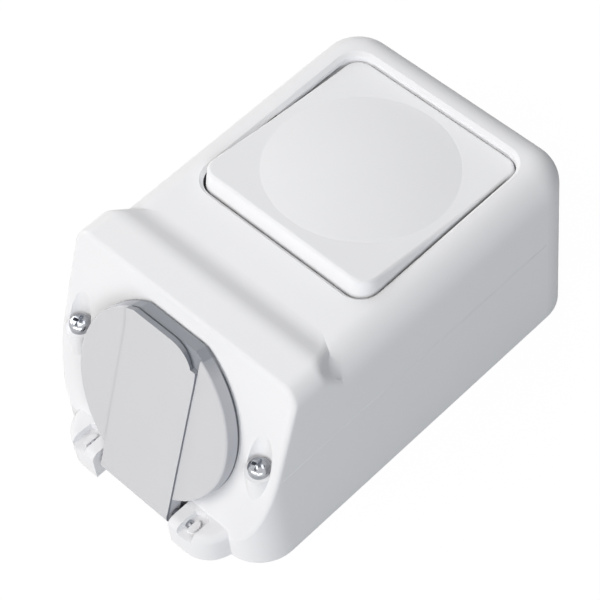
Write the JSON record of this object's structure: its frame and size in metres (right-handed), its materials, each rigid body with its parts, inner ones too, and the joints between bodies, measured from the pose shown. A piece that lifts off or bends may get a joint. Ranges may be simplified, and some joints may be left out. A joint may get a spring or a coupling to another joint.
{
  "type": "switch and socket combination",
  "caption": "Surface-mounted splash-proof combination of a rocker light switch and an earthed two-pin socket with a sprung hinged lid, in one white hood-shaped housing.",
  "frame": {"origin": "centre of the housing's back, on the wall plane", "axes": "+Z away from the wall, -Y towards the socket end, +X to the right"},
  "size_m": [0.072, 0.1175, 0.055],
  "materials": {
    "white_cover": "satin moulded",
    "white_rocker": "satin moulded",
    "grey_lid": "fine-textured moulded",
    "grey_base": "moulded",
    "insulator": "moulded",
    "plunger_plastic": "moulded",
    "seal_rubber": "matt",
    "plated_steel": "bright plated",
    "contact_brass": "rolled"
  },
  "bodies": {
    "housing": {"front_cover": "white_cover", "base_plate": "grey_base", "cover_gasket": "seal_rubber", "cover_screws": "plated_steel", "cable_grommet": "seal_rubber", "well_sleeve": "insulator", "contact_block": "insulator", "live_contact": "contact_brass", "neutral_contact": "contact_brass", "earth_strap": "contact_brass", "socket_terminal_screws": "plated_steel", "switch_base": "insulator", "switch_screws": "plated_steel", "feed_contact": "contact_brass", "load_contact": "contact_brass", "switch_terminal_screws": "plated_steel", "hinge_pin": "plated_steel", "lid_spring": "plated_steel"},
    "rocker": {"rocker": "white_rocker", "rocker_cradle": "insulator", "plunger": "plunger_plastic", "plunger_spring": "plated_steel"},
    "seesaw": {"moving_contact": "contact_brass"},
    "lid": {"socket_lid": "grey_lid", "lid_seal": "seal_rubber"}
  },
  "joints": [
    {"name": "rocker_tilt", "type": "hinge", "parent": "housing", "child": "rocker", "pos_m": [0, 0.0193, 0.0455], "axis": [1, 0, 0], "range_deg": [0, 12.4]},
    {"name": "contact_tilt", "type": "hinge", "parent": "housing", "child": "seesaw", "pos_m": [0, 0.0193, 0.028], "axis": [1, 0, 0], "range_deg": [-12.4, 0]},
    {"name": "lid_hinge", "type": "hinge", "parent": "housing", "child": "lid", "pos_m": [0, -0.05841, 0.00661], "axis": [1, 0, 0], "range_deg": [0, 105], "stiffness_Nm_per_rad": 0.01, "springref_deg": -28.65}
  ],
  "couplings": [
    {"joint": "contact_tilt", "follows": "rocker_tilt", "ratio": -1}
  ]
}
